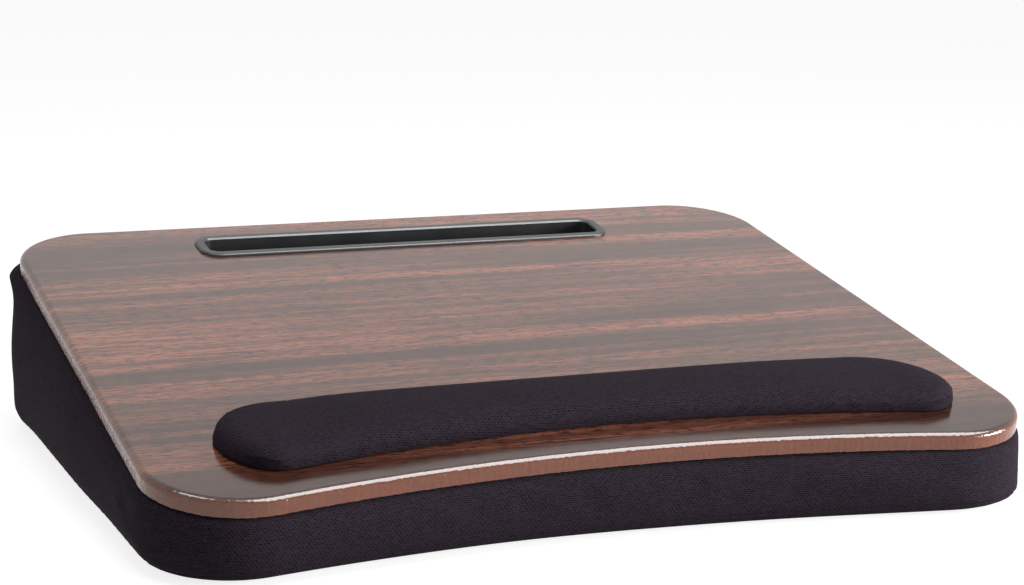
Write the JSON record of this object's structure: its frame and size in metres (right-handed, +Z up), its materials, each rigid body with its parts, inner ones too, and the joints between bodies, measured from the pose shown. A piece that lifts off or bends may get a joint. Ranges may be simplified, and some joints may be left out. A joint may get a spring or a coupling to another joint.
{
  "type": "lap desk",
  "caption": "Lap desk: sloping wood-grain board with a tablet slot and a padded wrist rest along its hollowed front edge, on a fabric-covered foam wedge cushion.",
  "frame": {"origin": "on the surface that the cushion rests on, under the middle of the desk's bounding box", "axes": "+X to the user's right along the board's width, +Y away from the user, +Z up; the board slopes down 10 degrees towards -Y"},
  "size_m": [0.484, 0.399, 0.1116],
  "materials": {
    "rosewood_foil": "semi-gloss rosewood-print vinyl foil, grain along X",
    "fibreboard": "medium-density fibreboard, machined",
    "backing_paper": "melamine balancing sheet",
    "black_moulding": "satin black ABS, fine spark texture",
    "cover_knit": "dark plum-brown polyester knit",
    "hardboard": "tempered hardboard, 3 mm",
    "foam": "open-cell polyurethane foam",
    "memory_foam": "slow-recovery polyurethane foam",
    "zinc_steel": "zinc-plated wire and screws",
    "tape": "double-sided foam tape"
  },
  "bodies": {
    "root": {"board_core": "fibreboard", "wood_grain_foil": "rosewood_foil", "backing_sheet": "backing_paper", "slot_insert": "black_moulding", "wrist_rest_plate": "hardboard", "wrist_rest_foam": "memory_foam", "wrist_rest_cover": "cover_knit", "wrist_rest_staples": "zinc_steel", "wrist_rest_screws": "zinc_steel", "cushion_panel": "hardboard", "support_foam": "foam", "memory_foam": "memory_foam", "cover_side_band": "cover_knit", "cover_base_panel": "cover_knit", "cover_staples": "zinc_steel", "mounting_tape": "tape"}
  },
  "joints": []
}
